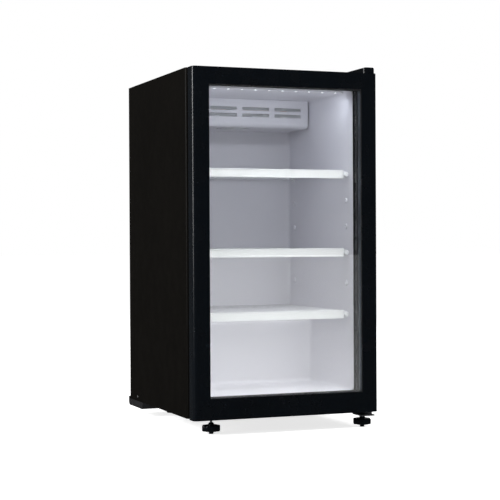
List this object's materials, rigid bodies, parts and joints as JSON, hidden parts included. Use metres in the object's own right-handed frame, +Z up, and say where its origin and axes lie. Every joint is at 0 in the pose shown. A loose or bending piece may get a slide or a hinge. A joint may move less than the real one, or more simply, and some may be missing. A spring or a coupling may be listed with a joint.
{
  "type": "glass door merchandiser",
  "caption": "Black under-counter drinks cooler with one hinged double-glazed door, wire shelves with white price strips, and a compressor bay behind.",
  "frame": {"origin": "on the floor, under the middle of the whole object's box", "axes": "+Z up; the door faces -Y; the door's hinges are on the +X side"},
  "size_m": [0.46, 0.517, 0.85],
  "materials": {
    "shell_paint": "satin",
    "galvanised": "satin",
    "black_steel": "satin",
    "foam": "matte",
    "liner": "satin",
    "white_plastic": "gloss",
    "black_plastic": "satin",
    "gasket": "matte",
    "rubber": "matte",
    "glass": "clear",
    "spacer_metal": "satin",
    "zinc": "satin",
    "shelf_wire": "gloss",
    "copper": "satin",
    "diffuser": "gloss"
  },
  "bodies": {
    "cabinet": {"back_panel": "galvanised", "base_tray": "black_steel", "compressor": "black_steel", "compressor_bay_panel": "galvanised", "compressor_mount_1": "rubber", "compressor_mount_2": "rubber", "compressor_mount_3": "rubber", "compressor_mount_4": "rubber", "condenser_coil": "black_steel", "condenser_wires": "black_steel", "cord_gland": "rubber", "evaporation_tray": "black_plastic", "evaporator_coil": "copper", "evaporator_cover": "white_plastic", "fan_motor": "black_plastic", "floor_panel": "shell_paint", "foam_insulation": "foam", "front_trim_frame": "black_plastic", "hinge_bracket_bottom": "zinc", "hinge_cover_top": "black_plastic", "hinge_plate_top": "zinc", "inner_liner": "liner", "lamp_diffuser": "diffuser", "rear_cover": "galvanised", "rear_foot_left": "rubber", "rear_foot_right": "rubber", "shelf_peg_bottom_left_front": "white_plastic", "shelf_peg_bottom_left_rear": "white_plastic", "shelf_peg_bottom_right_front": "white_plastic", "shelf_peg_bottom_right_rear": "white_plastic", "shelf_peg_middle_left_front": "white_plastic", "shelf_peg_middle_left_rear": "white_plastic", "shelf_peg_middle_right_front": "white_plastic", "shelf_peg_middle_right_rear": "white_plastic", "shelf_peg_top_left_front": "white_plastic", "shelf_peg_top_left_rear": "white_plastic", "shelf_peg_top_right_front": "white_plastic", "shelf_peg_top_right_rear": "white_plastic", "side_panel_left": "shell_paint", "side_panel_right": "shell_paint", "top_panel": "shell_paint"},
    "door": {"door_frame": "black_plastic", "door_inner_frame": "black_plastic", "glass_outer": "glass", "glass_spacer": "spacer_metal", "glass_inner": "glass", "door_gasket": "gasket"},
    "fan": {"fan_blade": "black_plastic"},
    "thermostat": {"thermostat_knob": "black_plastic"},
    "light_rocker": {"light_switch": "black_plastic"},
    "foot_left": {"foot_stud_left": "zinc"},
    "foot_left_knob": {"foot_knob_left": "black_plastic"},
    "foot_right": {"foot_stud_right": "zinc"},
    "foot_right_knob": {"foot_knob_right": "black_plastic"},
    "top_shelf": {"shelf_top": "shelf_wire", "price_strip_top": "white_plastic"},
    "middle_shelf": {"shelf_middle": "shelf_wire", "price_strip_middle": "white_plastic"},
    "bottom_shelf": {"shelf_bottom": "shelf_wire", "price_strip_bottom": "white_plastic"}
  },
  "joints": [
    {"name": "door_hinge", "type": "hinge", "parent": "cabinet", "child": "door", "pos_m": [0.215, -0.2395, 0.438], "axis": [0, 0, 1], "range_deg": [0, 110]},
    {"name": "fan_spin", "type": "hinge", "parent": "cabinet", "child": "fan", "pos_m": [0, 0.0975, 0.74], "axis": [0, 0, 1], "continuous": true},
    {"name": "thermostat_turn", "type": "hinge", "parent": "cabinet", "child": "thermostat", "pos_m": [0.17, 0.2525, 0.178], "axis": [0, -1, 0], "range_deg": [0, 270]},
    {"name": "light_switch_rock", "type": "hinge", "parent": "cabinet", "child": "light_rocker", "pos_m": [0.115, 0.2461, 0.178], "axis": [1, 0, 0], "range_deg": [0, 14]},
    {"name": "shelf_top_lift", "type": "slide", "parent": "cabinet", "child": "top_shelf", "axis": [0, 0, 1], "range_m": [0, 0.014]},
    {"name": "shelf_middle_lift", "type": "slide", "parent": "cabinet", "child": "middle_shelf", "axis": [0, 0, 1], "range_m": [0, 0.014]},
    {"name": "shelf_bottom_lift", "type": "slide", "parent": "cabinet", "child": "bottom_shelf", "axis": [0, 0, 1], "range_m": [0, 0.014]},
    {"name": "foot_left_travel", "type": "slide", "parent": "cabinet", "child": "foot_left", "axis": [0, 0, 1], "range_m": [-0.0075, 0.005]},
    {"name": "foot_left_turn", "type": "hinge", "parent": "foot_left", "child": "foot_left_knob", "pos_m": [-0.168, -0.1985, 0.013], "axis": [0, 0, 1], "range_deg": [-2160.5, 1440.5]},
    {"name": "foot_right_travel", "type": "slide", "parent": "cabinet", "child": "foot_right", "axis": [0, 0, 1], "range_m": [-0.0075, 0.00125]},
    {"name": "foot_right_turn", "type": "hinge", "parent": "foot_right", "child": "foot_right_knob", "pos_m": [0.204, -0.2245, 0.013], "axis": [0, 0, 1], "range_deg": [-2160.5, 360.5]}
  ],
  "couplings": [
    {"joint": "foot_left_turn", "follows": "foot_left_travel", "rad_per_m": 5026.5},
    {"joint": "foot_right_turn", "follows": "foot_right_travel", "rad_per_m": 5026.5}
  ]
}
